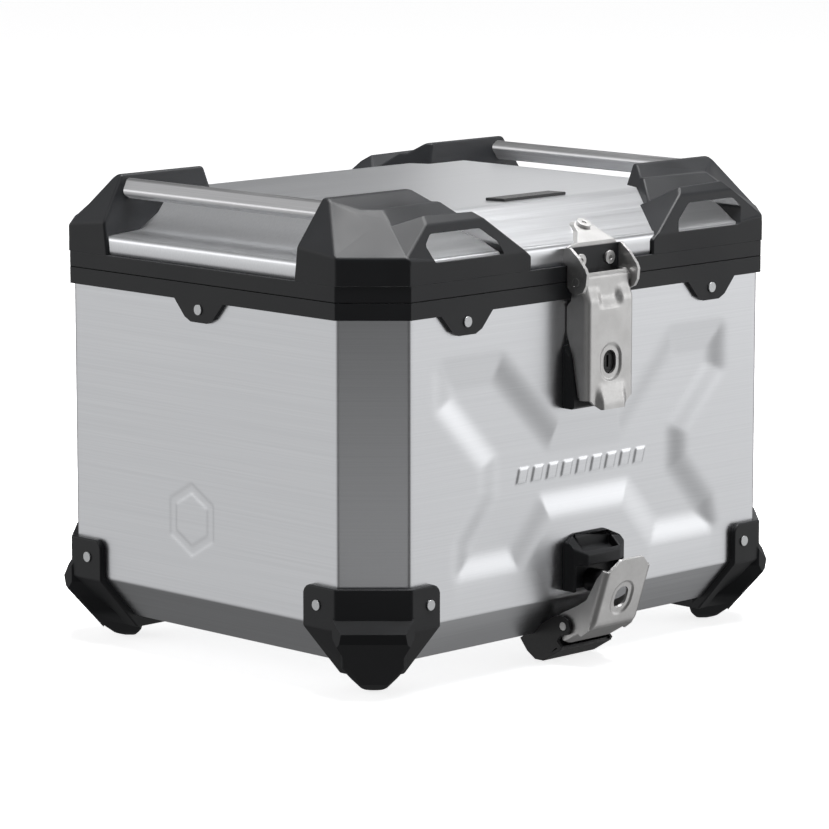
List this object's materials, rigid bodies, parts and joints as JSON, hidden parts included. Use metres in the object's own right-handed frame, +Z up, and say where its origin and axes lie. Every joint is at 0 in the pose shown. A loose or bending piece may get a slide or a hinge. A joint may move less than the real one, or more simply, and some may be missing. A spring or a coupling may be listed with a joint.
{
  "type": "motorcycle top case",
  "caption": "Hard aluminium luggage box for a motorcycle rack, with a hinged lid, corner caps with lashing pockets, carrying rails, a lid latch and a quick mounting latch.",
  "frame": {"origin": "on the ground, at the level of the feet, under the middle of the whole case with its latches and hinges, which is 14.15 mm in front of the centre of the body", "axes": "+X to the right as seen from the latch side, -Y towards the latch side, +Z up"},
  "size_m": [0.422, 0.3806, 0.3285],
  "materials": {
    "brushed_aluminium": "fine horizontal brushing, clear anodised",
    "rail_aluminium": "satin drawn extrusion",
    "black_plastic": "fine textured moulding",
    "black_steel": "black coated steel with bare cut edges",
    "satin_steel": "satin bead blasted stainless steel",
    "rivet_aluminium": "plain rivet heads",
    "rubber_seal": "soft black seal",
    "badge_black": "blank black nameplate"
  },
  "bodies": {
    "case": {"body_shell": "brushed_aluminium", "floor_pan": "brushed_aluminium", "carrier_plate": "brushed_aluminium", "carrier_tongues": "black_steel", "body_rim": "black_plastic", "rim_gasket": "rubber_seal", "rim_rivets": "rivet_aluminium", "protector_rivets": "rivet_aluminium", "hinge_leaves_body": "black_steel", "hinge_pins": "satin_steel", "hinge_rivets_body": "rivet_aluminium", "lid_latch_base": "black_plastic", "lid_lock_cylinder": "black_steel", "lid_latch_backing": "satin_steel", "mount_latch_housing": "black_plastic", "mount_claw": "black_steel", "mount_lever_pin": "satin_steel", "mount_lock_cylinder": "black_steel", "mount_latch_backing": "satin_steel", "protector_rear_right": "black_plastic", "protector_rear_left": "black_plastic", "protector_front_right": "black_plastic", "protector_front_left": "black_plastic"},
    "lid": {"lid_shell": "brushed_aluminium", "lid_rim": "black_plastic", "hinge_leaves_lid": "black_steel", "hinge_rivets_lid": "rivet_aluminium", "carry_rail_right": "rail_aluminium", "carry_rail_left": "rail_aluminium", "badge_plate": "badge_black", "lid_latch_bracket": "satin_steel", "lid_latch_spacer": "black_plastic", "lid_latch_screws": "satin_steel", "lid_latch_pin": "satin_steel", "corner_cap_rear_right": "black_plastic", "corner_cap_rear_left": "black_plastic", "corner_cap_front_right": "black_plastic", "corner_cap_front_left": "black_plastic"},
    "lid_lever": {"lid_latch_lever": "satin_steel"},
    "lid_lock": {"lid_lock_plug": "black_steel"},
    "mount_lever": {"mount_latch_lever": "satin_steel"},
    "mount_lock": {"mount_lock_plug": "black_steel"}
  },
  "joints": [
    {"name": "lid_hinge", "type": "hinge", "parent": "case", "child": "lid", "pos_m": [0, 0.18675, 0.264], "axis": [-1, 0, 0], "range_deg": [0, 95]},
    {"name": "lid_latch_pivot", "type": "hinge", "parent": "lid", "child": "lid_lever", "pos_m": [0, -0.16095, 0.2646], "axis": [-1, 0, 0], "range_deg": [0, 100]},
    {"name": "lid_lock_turn", "type": "hinge", "parent": "case", "child": "lid_lock", "pos_m": [0, -0.16585, 0.2092], "axis": [0, -1, 0], "range_deg": [0, 90]},
    {"name": "mount_latch_pivot", "type": "hinge", "parent": "case", "child": "mount_lever", "pos_m": [0, -0.14985, 0.028], "axis": [1, 0, 0], "range_deg": [-18, 70]},
    {"name": "mount_lock_turn", "type": "hinge", "parent": "case", "child": "mount_lock", "pos_m": [0, -0.16845, 0.0574], "axis": [0, -1, 0], "range_deg": [0, 90]}
  ]
}
